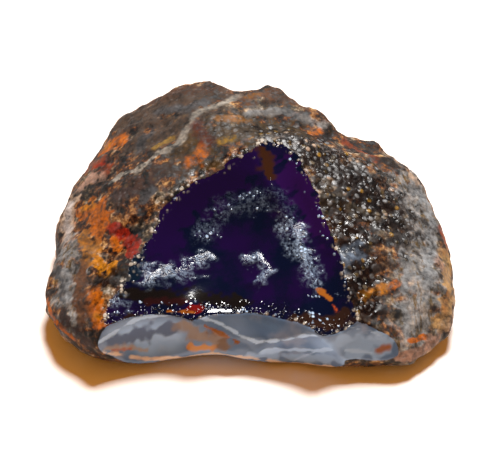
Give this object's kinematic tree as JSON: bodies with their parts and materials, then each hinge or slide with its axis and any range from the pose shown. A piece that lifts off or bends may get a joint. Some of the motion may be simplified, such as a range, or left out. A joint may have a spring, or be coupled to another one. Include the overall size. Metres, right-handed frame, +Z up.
{
  "type": "rough black opal nodule",
  "caption": "Rough black opal nodule: brown crust, one broken glossy black face in front over a pale scooped rim, lying on its flat underside.",
  "frame": {"origin": "centre of the bounding box's floor, on the flat underside that the stone lies on", "axes": "+X along the stone's length, to the right as its broken black face is seen; +Y away from that face; +Z up from the underside"},
  "size_m": [0.026, 0.0198, 0.0094],
  "materials": {
    "opal_nodule": "weathered brown crust with ochre and grey grains; broken faces glassy, black in front and pale lavender-grey along the rim"
  },
  "bodies": {
    "root": {"opal_nodule": "opal_nodule"}
  },
  "joints": []
}
